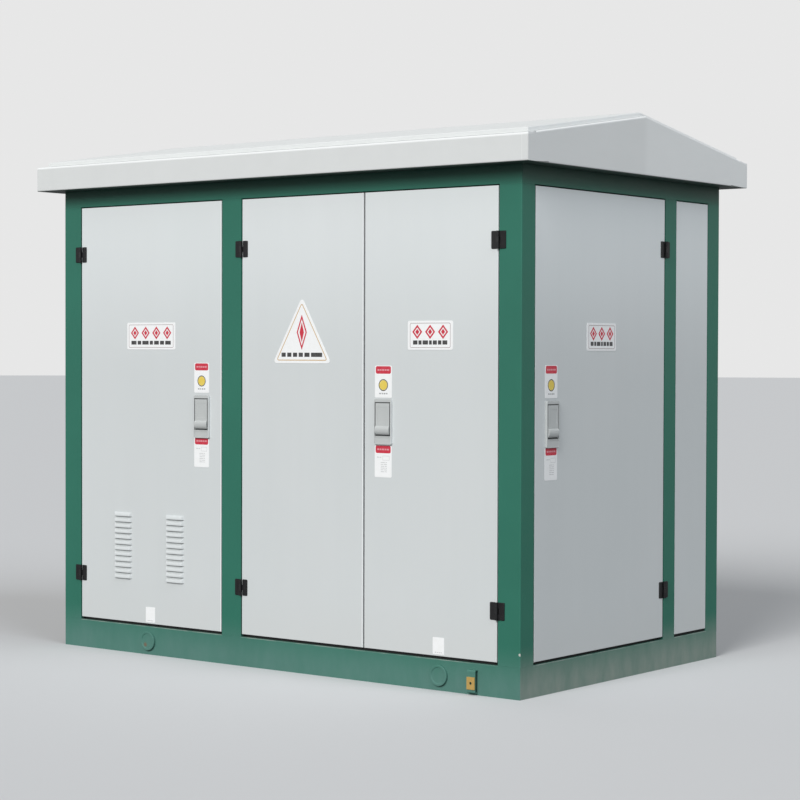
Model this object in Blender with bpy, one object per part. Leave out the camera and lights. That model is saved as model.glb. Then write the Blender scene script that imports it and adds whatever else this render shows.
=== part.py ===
"""Compact substation: a steel housing on a channel base, with a louvred transformer door, a
double switchgear door, a side door and a low gabled roof.

Metres, +Z up. +X runs along the front, +Y to the back, and the origin lies at ground level
under the middle of the housing. Each wall is drawn in its own frame: u runs from the wall's
left end to its right end as seen from outside, v runs inward from its face, and z is up.
"""

import math

import bmesh
import bpy
from mathutils import Matrix, Vector

# Overall sizes of the housing and its roof.
BODY_LENGTH = 2.736
BODY_DEPTH = 1.647
BASE_HEIGHT = 0.135
DOOR_BOTTOM = 0.148
DOOR_TOP = 2.150
TOP_RAIL_HEIGHT = 0.080
FASCIA_HEIGHT = 0.116
ROOF_OVERHANG = 0.095
ROOF_PITCH = math.radians(8.98)

# Widths of the posts and leaves, as seen on each face.
CORNER_POST_FACE = 0.114
FRONT_POST_SIDE_FACE = 0.097
BACK_POST_SIDE_FACE = 0.106
MIDDLE_POST_FACE = 0.119
SIDE_POST_FACE = 0.098
TRANSFORMER_DOOR_WIDTH = 0.927
NARROW_PANEL_WIDTH = 0.285
POST_DEPTH = 0.057
CORNER_ROUNDING = 0.004

# Running gaps and clearances.
DOOR_GAP = 0.0055
LEAF_MEETING_GAP = 0.009
PANEL_GAP = 0.003
SEAT_GAP = 0.0003
DOOR_STOP_GAP = 0.005

# Leaves: a front skin with a lip that overlaps the stops, and a core behind it.
SKIN_THICKNESS = 0.002
LEAF_DEPTH = 0.045
LIP_OVERLAP = 0.022
LEAF_EDGE_ROUNDING = 0.002

# Stops on the posts and rails behind the leaves.
STOP_SETBACK = 0.017
STOP_WIDTH = 0.020
STOP_THICKNESS = 0.003
STOP_OVERLAP = 0.0145

# Channel rails and the floor.
RAIL_WALL = 0.006
BASE_FLANGE = 0.090
TOP_RAIL_WALL = 0.004
FLOOR_THICKNESS = 0.005
FLOOR_MARGIN = 0.004

# Louvres of the transformer bay.
LOUVRE_COUNT = 12
LOUVRE_PITCH = 0.0272
LOUVRE_WIDTH = 0.117
LOUVRE_HEIGHT = 0.018
LOUVRE_DEPTH = 0.010
LOUVRE_END_SLOPE = 0.010
LOUVRE_BOTTOM = 0.357
LEFT_LOUVRES_FROM_MIDDLE = 0.177
RIGHT_LOUVRES_FROM_MIDDLE = 0.167
LOUVRE_WINDOW_MARGIN = 0.012

# Hinges: two leaves and three knuckles on a pin.
HINGE_WIDTH = 0.075
HINGE_HEIGHT = 0.075
HINGE_LEAF = 0.004
HINGE_AXIS_OFFSET = 0.009
HINGE_CORNER = 0.005
HINGE_CHAMFER = 0.0014
KNUCKLE_RADIUS = 0.0065
KNUCKLE_GAP = 0.0006
PIN_RADIUS = 0.003
PIN_CLEARANCE = 0.0005
HINGE_TOP_BELOW_DOOR_TOP = 0.2275
HINGE_BOTTOM_ABOVE_DOOR_BOTTOM = 0.2165
KNUCKLE_SIDES = 20
PIN_SIDES = 12

# Lever locks: a case with a dish for the lever and a shallow field under it.
LOCK_WIDTH = 0.094
LOCK_HEIGHT = 0.199
LOCK_DEPTH = 0.011
LOCK_CENTRE_HEIGHT = 1.1465
TRANSFORMER_LOCK_FROM_EDGE = 0.1185
SWITCHGEAR_LOCK_FROM_EDGE = 0.108
SIDE_LOCK_FROM_EDGE = 0.121
LOCK_CORNER = 0.006
LOCK_RIM = 0.004
LOCK_EDGE_ROUNDING = 0.0012
DISH_TOP_RIM = 0.013
DISH_HEIGHT = 0.1505
DISH_FLOOR = 0.003
FIELD_BAR = 0.003
FIELD_DEPTH = 0.0015
LEVER_WIDTH = 0.076
LEVER_LENGTH = 0.136
LEVER_THICKNESS = 0.0048
LEVER_BARREL = 0.0038
LEVER_PIN_RADIUS = 0.002
LEVER_PIN_REACH = 0.0025
LEVER_LIP_HEIGHT = 0.034
LEVER_LIP_REACH = 0.006
LEVER_LIP_ABOVE_END = 0.002
LEVER_PANEL_MARGIN = 0.012
LEVER_PANEL_TOP = 0.018
LEVER_PANEL_HEIGHT = 0.067
LEVER_PANEL_DEPTH = 0.001

# Round covers over the lifting points, on the front and back base rails.
COVER_RADIUS = 0.046
COVER_DEPTH = 0.012
COVER_RIM = 0.007
COVER_ROUNDING = 0.003
COVER_FACE_DEPTH = 0.0025
COVER_HEIGHT = 0.066
LEFT_COVER_FROM_LEFT = 0.576
RIGHT_COVER_FROM_RIGHT = 0.421
COVER_SIDES = 48

# The earthing strap, bent out of the front base rail, and the brass plate on its face.
STRAP_FROM_RIGHT = 0.238
STRAP_WIDTH = 0.042
STRAP_BOTTOM = 0.008
STRAP_HEIGHT = 0.100
STRAP_REACH = 0.020
STRAP_STEEL = 0.004
STRAP_BEND = 0.008
EARTH_PLATE_WIDTH = 0.041
EARTH_PLATE_BOTTOM = 0.025
EARTH_PLATE_HEIGHT = 0.053
EARTH_PLATE_THICKNESS = 0.004
EARTH_HOLE_RADIUS = 0.006

# Folded roof parts.
ROOF_STEEL = 0.003
ROOF_FLANGE = 0.060
ROOF_BEND = 0.006
SHEET_RISE = 0.020
SHEET_STEEL = 0.0025
SHEET_BEND = 0.005
SHEET_INSET_SIDE = 0.032
SHEET_INSET_EAVE = 0.045

# What follows from the sizes above.
DOOR_LIP = STOP_SETBACK - DOOR_STOP_GAP
PANEL_LIP = STOP_SETBACK - SEAT_GAP
TOP_RAIL_BOTTOM = DOOR_TOP + DOOR_GAP
EAVE_BOTTOM = TOP_RAIL_BOTTOM + TOP_RAIL_HEIGHT
EAVE_TOP = EAVE_BOTTOM + FASCIA_HEIGHT
TOP_RAIL_TOP = EAVE_BOTTOM - SEAT_GAP
FRONT_DOOR_1_START = CORNER_POST_FACE + DOOR_GAP
MIDDLE_POST_START = FRONT_DOOR_1_START + TRANSFORMER_DOOR_WIDTH + DOOR_GAP
FRONT_DOOR_2_START = MIDDLE_POST_START + MIDDLE_POST_FACE + DOOR_GAP
FRONT_DOORS_END = BODY_LENGTH - CORNER_POST_FACE - DOOR_GAP
SWITCHGEAR_LEAF_WIDTH = (FRONT_DOORS_END - FRONT_DOOR_2_START - LEAF_MEETING_GAP) / 2
NARROW_PANEL_END = BODY_DEPTH - BACK_POST_SIDE_FACE - PANEL_GAP
NARROW_PANEL_START = NARROW_PANEL_END - NARROW_PANEL_WIDTH
SIDE_POST_END = NARROW_PANEL_START - PANEL_GAP
SIDE_POST_START = SIDE_POST_END - SIDE_POST_FACE
ROOF_HALF_LENGTH = BODY_LENGTH / 2 + ROOF_OVERHANG
ROOF_HALF_DEPTH = BODY_DEPTH / 2 + ROOF_OVERHANG
SOFFIT_DEPTH = ROOF_OVERHANG + POST_DEPTH

# Fineness of the meshes.
SAME_POINT = 1e-6
SMOOTH_ANGLE = math.radians(35)
ARC_STEPS = 4
ROUND_PROFILE = 0.5

MATERIALS = {
    "frame_green": ((0.052, 0.195, 0.135), 0.45, 0.0),
    "panel_white": ((0.70, 0.71, 0.70), 0.40, 0.0),
    "roof_white": ((0.78, 0.78, 0.78), 0.45, 0.0),
    "hinge_black": ((0.02, 0.02, 0.02), 0.50, 0.0),
    "lock_grey": ((0.50, 0.52, 0.51), 0.35, 0.6),
    "floor_steel": ((0.30, 0.31, 0.31), 0.50, 0.6),
    "brass": ((0.56, 0.38, 0.12), 0.30, 1.0),
}


def clear_scene():
    for obj in list(bpy.data.objects):
        bpy.data.objects.remove(obj)


def material(name):
    """Returns a Principled material of this name, made at its first use."""
    if name in bpy.data.materials:
        return bpy.data.materials[name]
    colour, roughness, metallic = MATERIALS[name]
    mat = bpy.data.materials.new(name)
    mat.use_nodes = True
    shader = mat.node_tree.nodes["Principled BSDF"]
    shader.inputs["Base Color"].default_value = (*colour, 1.0)
    shader.inputs["Roughness"].default_value = roughness
    shader.inputs["Metallic"].default_value = metallic
    return mat


def wall_frame(name):
    """Returns the matrix from a wall's own frame to the world."""
    half_x = BODY_LENGTH / 2
    half_y = BODY_DEPTH / 2
    corner, turn = {
        "front": ((-half_x, -half_y, 0.0), 0.0),
        "right": ((half_x, -half_y, 0.0), math.pi / 2),
        "back": ((half_x, half_y, 0.0), math.pi),
        "left": ((-half_x, half_y, 0.0), -math.pi / 2),
    }[name]
    return Matrix.Translation(corner) @ Matrix.Rotation(turn, 4, "Z")


def wall_length(name):
    return BODY_LENGTH if name in ("front", "back") else BODY_DEPTH


def add_object(name, mesh, mat, frame, at=(0.0, 0.0, 0.0), parent=None):
    """Links a mesh as an object. With a parent, at is a place in the parent's frame."""
    mesh.materials.clear()
    mesh.materials.append(material(mat))
    mesh.shade_smooth()
    mesh.set_sharp_from_angle(angle=SMOOTH_ANGLE)
    obj = bpy.data.objects.new(name, mesh)
    bpy.context.scene.collection.objects.link(obj)
    if parent is None:
        obj.matrix_world = frame @ Matrix.Translation(at)
    else:
        obj.parent = parent
        obj.location = at
    return obj


def mesh_from(bm, name):
    """Turns a bmesh into a mesh with its faces pointing out."""
    bmesh.ops.remove_doubles(bm, verts=bm.verts, dist=SAME_POINT)
    bmesh.ops.recalc_face_normals(bm, faces=bm.faces)
    mesh = bpy.data.meshes.new(name)
    bm.to_mesh(mesh)
    bm.free()
    return mesh


def add_box(bm, low, high):
    """Adds a closed box between two corners and returns its vertices."""
    corners = [Vector(corner) for corner in (low, high)]
    size = corners[1] - corners[0]
    middle = (corners[0] + corners[1]) / 2
    place = Matrix.Translation(middle) @ Matrix.Diagonal((*size, 1.0))
    return bmesh.ops.create_cube(bm, size=1.0, matrix=place)["verts"]


def box_mesh(name, low, high):
    bm = bmesh.new()
    add_box(bm, low, high)
    return mesh_from(bm, name)


def add_cylinder(bm, centre, radius, length, axis, sides):
    """Adds a closed cylinder about its centre, along X, Y or Z."""
    turn = {
        "X": Matrix.Rotation(math.pi / 2, 4, "Y"),
        "Y": Matrix.Rotation(math.pi / 2, 4, "X"),
        "Z": Matrix.Identity(4),
    }[axis]
    bmesh.ops.create_cone(
        bm,
        cap_ends=True,
        segments=sides,
        radius1=radius,
        radius2=radius,
        depth=length,
        matrix=Matrix.Translation(centre) @ turn,
    )


def arc(centre, radius, start, end, steps=ARC_STEPS):
    """Points on an arc between two angles in degrees."""
    angles = [math.radians(start + (end - start) * step / steps) for step in range(steps + 1)]
    return [
        (centre[0] + radius * math.cos(angle), centre[1] + radius * math.sin(angle))
        for angle in angles
    ]


def add_prism(bm, outline, start_of, end_of):
    """Adds a closed prism whose two ends are given by functions of an outline's points."""
    first = [bm.verts.new(start_of(point)) for point in outline]
    last = [bm.verts.new(end_of(point)) for point in outline]
    bm.faces.new(first)
    bm.faces.new(list(reversed(last)))
    count = len(outline)
    for index in range(count):
        after = (index + 1) % count
        bm.faces.new((first[after], first[index], last[index], last[after]))


def round_edges(bm, edges, radius, steps=ARC_STEPS):
    bmesh.ops.bevel(
        bm,
        geom=edges,
        offset=radius,
        segments=steps,
        profile=ROUND_PROFILE,
        affect="EDGES",
    )


def apply_modifiers(obj):
    """Replaces an object's mesh with its evaluated mesh."""
    graph = bpy.context.evaluated_depsgraph_get()
    mesh = bpy.data.meshes.new_from_object(obj.evaluated_get(graph))
    obj.modifiers.clear()
    obj.data = mesh


def combine(mesh, tool_mesh, operation):
    """Returns a mesh joined with, or cut by, another mesh in the same frame."""
    base = bpy.data.objects.new("base", mesh)
    tool = bpy.data.objects.new("tool", tool_mesh)
    for obj in (base, tool):
        bpy.context.scene.collection.objects.link(obj)
    modifier = base.modifiers.new("Boolean", "BOOLEAN")
    modifier.operation = operation
    modifier.solver = "EXACT"
    modifier.object = tool
    apply_modifiers(base)
    result = base.data
    result.name = mesh.name
    bpy.data.objects.remove(base)
    bpy.data.objects.remove(tool)
    return result


def folded_sheet(bm, name, thickness):
    """Thickens an open surface, whose normals point out, inward to a sheet."""
    mesh = bpy.data.meshes.new(name)
    bm.to_mesh(mesh)
    bm.free()
    sheet = bpy.data.objects.new("sheet", mesh)
    bpy.context.scene.collection.objects.link(sheet)
    modifier = sheet.modifiers.new("Solidify", "SOLIDIFY")
    modifier.thickness = thickness
    modifier.offset = -1.0
    modifier.solidify_mode = "NON_MANIFOLD"
    modifier.nonmanifold_thickness_mode = "CONSTRAINTS"
    apply_modifiers(sheet)
    result = sheet.data
    result.name = name
    bpy.data.objects.remove(sheet)
    return result


def bays(wall):
    """Lists the openings of a wall as pairs of u values, from its left end."""
    transformer = (CORNER_POST_FACE, MIDDLE_POST_START)
    switchgear = (MIDDLE_POST_START + MIDDLE_POST_FACE, BODY_LENGTH - CORNER_POST_FACE)
    wide = (FRONT_POST_SIDE_FACE, SIDE_POST_START)
    narrow = (SIDE_POST_END, BODY_DEPTH - BACK_POST_SIDE_FACE)
    if wall == "front":
        return [transformer, switchgear]
    if wall == "right":
        return [wide, narrow]
    length = wall_length(wall)
    mirrored = [transformer, switchgear] if wall == "back" else [wide, narrow]
    return [(length - end, length - start) for start, end in reversed(mirrored)]


def base_section():
    """Outline of the base channel, in v and z: web outside, two flanges inward."""
    inner_top = BASE_HEIGHT - RAIL_WALL
    return [
        (0.0, 0.0),
        (BASE_FLANGE, 0.0),
        (BASE_FLANGE, RAIL_WALL),
        (RAIL_WALL, RAIL_WALL),
        (RAIL_WALL, inner_top),
        (BASE_FLANGE, inner_top),
        (BASE_FLANGE, BASE_HEIGHT),
        (0.0, BASE_HEIGHT),
    ]


def top_section():
    """Outline of the top channel, in v and z."""
    low = TOP_RAIL_BOTTOM
    high = TOP_RAIL_TOP
    wall = TOP_RAIL_WALL
    return [
        (0.0, low),
        (POST_DEPTH, low),
        (POST_DEPTH, low + wall),
        (wall, low + wall),
        (wall, high - wall),
        (POST_DEPTH, high - wall),
        (POST_DEPTH, high),
        (0.0, high),
    ]


def mitred_rail(wall, section, name):
    """Runs a section along a wall, with both ends mitred at the corners."""
    length = wall_length(wall)
    bm = bmesh.new()
    add_prism(
        bm,
        section,
        lambda point: (point[0] + SEAT_GAP, point[0], point[1]),
        lambda point: (length - point[0] - SEAT_GAP, point[0], point[1]),
    )
    return mesh_from(bm, name)


def stop_strips(wall, low, high):
    """Strips that stand on, or hang from, a rail in each bay behind the leaves."""
    bm = bmesh.new()
    for start, end in bays(wall):
        add_box(
            bm,
            (start + STOP_WIDTH + SEAT_GAP, STOP_SETBACK, low),
            (end - STOP_WIDTH - SEAT_GAP, STOP_SETBACK + STOP_THICKNESS, high),
        )
    return mesh_from(bm, "strips")


def rounded_corner_cut(length, height):
    """What is cut off both ends of a rail so that the housing's upright corners are round."""
    radius = CORNER_ROUNDING
    outline = [(-radius, -radius), (radius, -radius)]
    outline += arc((radius, radius), radius, 270, 180)
    outline.append((-radius, radius))
    bm = bmesh.new()
    for end, side in ((0.0, 1), (length, -1)):
        add_prism(
            bm,
            outline,
            lambda point: (end + side * point[0], point[1], -RAIL_WALL),
            lambda point: (end + side * point[0], point[1], height),
        )
    return mesh_from(bm, "corner_cut")


def cover_caps():
    """Round caps with a rounded rim about a sunk face."""
    bm = bmesh.new()
    for place in (LEFT_COVER_FROM_LEFT, BODY_LENGTH - RIGHT_COVER_FROM_RIGHT):
        add_cylinder(
            bm,
            (place, (RAIL_WALL / 2 - COVER_DEPTH) / 2, COVER_HEIGHT),
            COVER_RADIUS,
            RAIL_WALL / 2 + COVER_DEPTH,
            "Y",
            COVER_SIDES,
        )
    front = SAME_POINT - COVER_DEPTH
    rim = [edge for edge in bm.edges if all(vert.co.y < front for vert in edge.verts)]
    round_edges(bm, rim, COVER_ROUNDING)
    faces = [face for face in bm.faces if all(vert.co.y < front for vert in face.verts)]
    for offset, sunk in ((COVER_RIM, 0.0), (COVER_FACE_DEPTH, COVER_FACE_DEPTH)):
        bmesh.ops.inset_individual(bm, faces=faces, thickness=offset, use_even_offset=True)
        inner = [vert for face in faces for vert in face.verts]
        bmesh.ops.translate(bm, verts=inner, vec=(0.0, sunk, 0.0))
    return mesh_from(bm, "covers")


def strap_middle():
    return BODY_LENGTH - STRAP_FROM_RIGHT


def earth_strap():
    """A flat strap bent out from the rail and back to it, open at both sides."""
    top = STRAP_BOTTOM + STRAP_HEIGHT
    inner = STRAP_BEND - STRAP_REACH
    path = [(RAIL_WALL / 2, top)]
    path += arc((inner, top - STRAP_BEND), STRAP_BEND, 90, 180)
    path += arc((inner, STRAP_BOTTOM + STRAP_BEND), STRAP_BEND, 180, 270)
    path.append((RAIL_WALL / 2, STRAP_BOTTOM))
    bm = bmesh.new()
    left, right = (
        [bm.verts.new((strap_middle() + end * STRAP_WIDTH / 2, v, z)) for v, z in path]
        for end in (-1, 1)
    )
    for index in range(len(path) - 1):
        after = index + 1
        bm.faces.new((left[index], left[after], right[after], right[index]))
    return folded_sheet(bm, "strap", STRAP_STEEL)


def earth_hole(start, end):
    """The bolt hole through the earthing strap and its plate, between two depths."""
    bm = bmesh.new()
    height = EARTH_PLATE_BOTTOM + EARTH_PLATE_HEIGHT / 2
    centre = (strap_middle(), (start + end) / 2, height)
    add_cylinder(bm, centre, EARTH_HOLE_RADIUS, end - start, "Y", PIN_SIDES)
    return mesh_from(bm, "hole")


def build_rails():
    for wall in ("front", "back", "left", "right"):
        mesh = mitred_rail(wall, base_section(), "base_rail_" + wall)
        sill = stop_strips(wall, BASE_HEIGHT - RAIL_WALL / 2, DOOR_BOTTOM + STOP_OVERLAP)
        mesh = combine(mesh, sill, "UNION")
        corners = rounded_corner_cut(wall_length(wall), EAVE_BOTTOM)
        mesh = combine(mesh, corners.copy(), "DIFFERENCE")
        if wall in ("front", "back"):
            mesh = combine(mesh, cover_caps(), "UNION")
        if wall == "front":
            mesh = combine(mesh, earth_strap(), "UNION")
            mesh = combine(mesh, earth_hole(-2 * STRAP_REACH, STRAP_STEEL - STRAP_REACH / 2), "DIFFERENCE")
        add_object("base_rail_" + wall, mesh, "frame_green", wall_frame(wall))
        mesh = mitred_rail(wall, top_section(), "top_rail_" + wall)
        head = stop_strips(wall, DOOR_TOP - STOP_OVERLAP, TOP_RAIL_BOTTOM + TOP_RAIL_WALL / 2)
        mesh = combine(mesh, head, "UNION")
        mesh = combine(mesh, corners, "DIFFERENCE")
        add_object("top_rail_" + wall, mesh, "frame_green", wall_frame(wall))


def build_earth_plate():
    back = -STRAP_REACH - SEAT_GAP
    half = EARTH_PLATE_WIDTH / 2
    plate = box_mesh(
        "earthing_plate",
        (strap_middle() - half, back - EARTH_PLATE_THICKNESS, EARTH_PLATE_BOTTOM),
        (strap_middle() + half, back, EARTH_PLATE_BOTTOM + EARTH_PLATE_HEIGHT),
    )
    plate = combine(plate, earth_hole(2 * back, 0.0), "DIFFERENCE")
    add_object("earthing_plate", plate, "brass", wall_frame("front"))


def build_floor():
    half_x = BODY_LENGTH / 2 - POST_DEPTH - FLOOR_MARGIN
    half_y = BODY_DEPTH / 2 - POST_DEPTH - FLOOR_MARGIN
    low = BASE_HEIGHT + SEAT_GAP
    mesh = box_mesh(
        "floor_plate",
        (-half_x, -half_y, low),
        (half_x, half_y, low + FLOOR_THICKNESS),
    )
    add_object("floor_plate", mesh, "floor_steel", Matrix.Identity(4))


def add_post(name, frame, outline):
    low = BASE_HEIGHT + SEAT_GAP
    high = TOP_RAIL_BOTTOM - SEAT_GAP
    bm = bmesh.new()
    add_prism(
        bm,
        outline,
        lambda point: (point[0], point[1], low),
        lambda point: (point[0], point[1], high),
    )
    add_object(name, mesh_from(bm, name), "frame_green", frame)


def corner_outline(face, side_face):
    """Plan of a corner post: two faces, each with a stop step at its inner end."""
    radius = CORNER_ROUNDING
    return arc((radius, radius), radius, 180, 270) + [
        (face, 0.0),
        (face, STOP_SETBACK),
        (face + STOP_WIDTH, STOP_SETBACK),
        (face + STOP_WIDTH, POST_DEPTH),
        (POST_DEPTH, POST_DEPTH),
        (POST_DEPTH, side_face + STOP_WIDTH),
        (STOP_SETBACK, side_face + STOP_WIDTH),
        (STOP_SETBACK, side_face),
        (0.0, side_face),
    ]


def middle_outline(start, width):
    """Plan of a middle post: a face with a stop step on each side."""
    end = start + width
    return [
        (start, 0.0),
        (end, 0.0),
        (end, STOP_SETBACK),
        (end + STOP_WIDTH, STOP_SETBACK),
        (end + STOP_WIDTH, POST_DEPTH),
        (start - STOP_WIDTH, POST_DEPTH),
        (start - STOP_WIDTH, STOP_SETBACK),
        (start, STOP_SETBACK),
    ]


def build_posts():
    for name, wall, side_face in (
        ("corner_post_front_left", "front", FRONT_POST_SIDE_FACE),
        ("corner_post_back_right", "back", BACK_POST_SIDE_FACE),
    ):
        add_post(name, wall_frame(wall), corner_outline(CORNER_POST_FACE, side_face))
    for name, wall, side_face in (
        ("corner_post_front_right", "right", FRONT_POST_SIDE_FACE),
        ("corner_post_back_left", "left", BACK_POST_SIDE_FACE),
    ):
        add_post(name, wall_frame(wall), corner_outline(side_face, CORNER_POST_FACE))
    for wall in ("front", "back", "left", "right"):
        first, second = bays(wall)
        outline = middle_outline(first[1], second[0] - first[1])
        add_post("middle_post_" + wall, wall_frame(wall), outline)


def leaf_mesh(name, width, lip):
    """A leaf from its lower left corner: a front slab, and a core inset from its edge."""
    height = DOOR_TOP - DOOR_BOTTOM
    bm = bmesh.new()
    add_box(bm, (0.0, 0.0, 0.0), (width, lip, height))
    back = max(bm.faces, key=lambda face: face.calc_center_median().y)
    bmesh.ops.inset_region(bm, faces=[back], thickness=LIP_OVERLAP, use_even_offset=True)
    core = bmesh.ops.extrude_face_region(bm, geom=[back])
    moved = [item for item in core["geom"] if isinstance(item, bmesh.types.BMVert)]
    bmesh.ops.translate(bm, verts=moved, vec=(0.0, LEAF_DEPTH - lip, 0.0))
    bm.faces.remove(back)
    front = [edge for edge in bm.edges if all(vert.co.y < SAME_POINT for vert in edge.verts)]
    round_edges(bm, front, LEAF_EDGE_ROUNDING, 2)
    return mesh_from(bm, name)


def louvre_profile(inset):
    """Side outline of a louvre hood, in v and z from its lower edge on the skin."""
    depth = LOUVRE_DEPTH - inset
    height = LOUVRE_HEIGHT - inset
    return [(-depth * across, height * up) for across, up in arc((0.0, 0.0), 1.0, 0, 90)]


def add_hood(bm, middle, low, inset, back, below):
    """Adds one hood as a closed body that narrows outward at both ends."""
    profile = louvre_profile(inset)
    half = LOUVRE_WIDTH / 2 - inset
    points = profile + [(back, profile[-1][1]), (back, -below)]
    if below > 0:
        points.append((profile[0][0], -below))

    def end_of(side):
        def place(point):
            out = -point[0] / LOUVRE_DEPTH
            return (middle + side * (half - out * LOUVRE_END_SLOPE), point[0], low + point[1])

        return place

    add_prism(bm, points, end_of(-1), end_of(1))


def louvre_middles(width):
    """Middles of the two columns of louvres of a leaf of this width."""
    return width / 2 - LEFT_LOUVRES_FROM_MIDDLE, width / 2 + RIGHT_LOUVRES_FROM_MIDDLE


def louvre_bodies(width, inset, back, below):
    """All the hoods of a leaf of this width, in one mesh."""
    bm = bmesh.new()
    for middle in louvre_middles(width):
        for row in range(LOUVRE_COUNT):
            low = LOUVRE_BOTTOM - DOOR_BOTTOM + row * LOUVRE_PITCH
            add_hood(bm, middle, low, inset, back, below)
    return mesh_from(bm, "louvres")


def with_louvres(mesh, width):
    """Opens the leaf behind the louvres, then presses the hoods out of its skin."""
    bm = bmesh.new()
    margin = LOUVRE_WINDOW_MARGIN
    low = LOUVRE_BOTTOM - DOOR_BOTTOM
    for middle in louvre_middles(width):
        half = LOUVRE_WIDTH / 2 + margin
        add_box(
            bm,
            (middle - half, SKIN_THICKNESS, low - margin),
            (middle + half, LEAF_DEPTH + margin, low + LOUVRE_COUNT * LOUVRE_PITCH + margin),
        )
    mesh = combine(mesh, mesh_from(bm, "windows"), "DIFFERENCE")
    half_skin = SKIN_THICKNESS / 2
    mesh = combine(mesh, louvre_bodies(width, 0.0, half_skin, 0.0), "UNION")
    return combine(
        mesh,
        louvre_bodies(width, SKIN_THICKNESS * 0.75, 2 * SKIN_THICKNESS, SKIN_THICKNESS),
        "DIFFERENCE",
    )


def hinge_levels():
    """Heights of the lower ends of the two hinges of a leaf."""
    return (
        ("lower", DOOR_BOTTOM + HINGE_BOTTOM_ABOVE_DOOR_BOTTOM - HINGE_HEIGHT / 2),
        ("upper", DOOR_TOP - HINGE_TOP_BELOW_DOOR_TOP - HINGE_HEIGHT / 2),
    )


def knuckle_span(index):
    """Lower and upper end of one of the three knuckles."""
    pitch = HINGE_HEIGHT / 3
    low = index * pitch + (KNUCKLE_GAP / 2 if index > 0 else 0.0)
    high = (index + 1) * pitch - (KNUCKLE_GAP / 2 if index < 2 else 0.0)
    return low, high


def hinge_leaf(side, inner, front, back):
    """A hinge leaf with its outer corners rounded and its front rim chamfered."""
    outer = HINGE_WIDTH / 2
    radius = HINGE_CORNER
    outline = [(inner, 0.0)]
    outline += arc((outer - radius, radius), radius, 270, 360)
    outline += arc((outer - radius, HINGE_HEIGHT - radius), radius, 0, 90)
    outline.append((inner, HINGE_HEIGHT))
    bm = bmesh.new()
    add_prism(
        bm,
        outline,
        lambda point: (side * point[0], front, point[1]),
        lambda point: (side * point[0], back, point[1]),
    )
    rim = [
        edge
        for edge in bm.edges
        if all(abs(vert.co.y - front) < SAME_POINT for vert in edge.verts)
        and any(abs(abs(vert.co.x) - inner) > SAME_POINT for vert in edge.verts)
    ]
    bmesh.ops.bevel(bm, geom=rim, offset=HINGE_CHAMFER, segments=1, affect="EDGES")
    return mesh_from(bm, "hinge_half")


def hinge_half(side, knuckles, face_gap, leaf_back):
    """One half of a hinge about its axis: a leaf on this side, and its knuckles."""
    clear = HINGE_AXIS_OFFSET + 2 * PIN_CLEARANCE
    front = HINGE_AXIS_OFFSET - face_gap - HINGE_LEAF
    half = hinge_leaf(side, clear, front, HINGE_AXIS_OFFSET + leaf_back)
    bm = bmesh.new()
    for index in knuckles:
        low, high = knuckle_span(index)
        middle = (low + high) / 2
        add_cylinder(bm, (0.0, 0.0, middle), KNUCKLE_RADIUS, high - low, "Z", KNUCKLE_SIDES)
    half = combine(half, mesh_from(bm, "knuckles"), "UNION")
    bm = bmesh.new()
    for index in knuckles:
        low, high = knuckle_span(index)
        tongue_end = side * (clear + HINGE_LEAF)
        add_box(
            bm,
            (min(0.0, tongue_end), front + PIN_CLEARANCE / 2, low),
            (max(0.0, tongue_end), HINGE_AXIS_OFFSET - face_gap - PIN_CLEARANCE / 2, high),
        )
    return combine(half, mesh_from(bm, "tongues"), "UNION")


def moving_half(side):
    """The half on the leaf: one bored knuckle, its leaf let into the skin a little."""
    half = hinge_half(side, (1,), 0.0, SKIN_THICKNESS / 2)
    bm = bmesh.new()
    bore = PIN_RADIUS + PIN_CLEARANCE
    add_cylinder(bm, (0.0, 0.0, HINGE_HEIGHT / 2), bore, HINGE_HEIGHT, "Z", PIN_SIDES)
    return combine(half, mesh_from(bm, "bore"), "DIFFERENCE")


def fixed_half(side):
    """The half on the post: two knuckles and the pin between them."""
    half = hinge_half(side, (0, 2), SEAT_GAP, -SEAT_GAP)
    bm = bmesh.new()
    pin_length = HINGE_HEIGHT / 3 + HINGE_LEAF
    add_cylinder(bm, (0.0, 0.0, HINGE_HEIGHT / 2), PIN_RADIUS, pin_length, "Z", PIN_SIDES)
    return combine(half, mesh_from(bm, "pin"), "UNION")


def moved(mesh, offset):
    mesh.transform(Matrix.Translation(offset))
    return mesh


def rounded_case(front, back):
    """The lock's case: an upright plate with rounded corners and a rounded front rim."""
    half_width = LOCK_WIDTH / 2
    half_height = LOCK_HEIGHT / 2
    bm = bmesh.new()
    add_box(bm, (-half_width, front, -half_height), (half_width, back, half_height))
    corners = [
        edge
        for edge in bm.edges
        if abs(edge.verts[0].co.y - edge.verts[1].co.y) > SAME_POINT
    ]
    round_edges(bm, corners, LOCK_CORNER)
    rim = [
        edge
        for edge in bm.edges
        if all(abs(vert.co.y - front) < SAME_POINT for vert in edge.verts)
    ]
    round_edges(bm, rim, LOCK_EDGE_ROUNDING, 2)
    return mesh_from(bm, "lock_body")


def lever_axis():
    """Place of the lever's axis from the middle of the lock, in v and z."""
    inward = -SEAT_GAP - LOCK_DEPTH + LEVER_BARREL
    return inward, LOCK_HEIGHT / 2 - DISH_TOP_RIM - LEVER_BARREL - 2 * PIN_CLEARANCE


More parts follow.
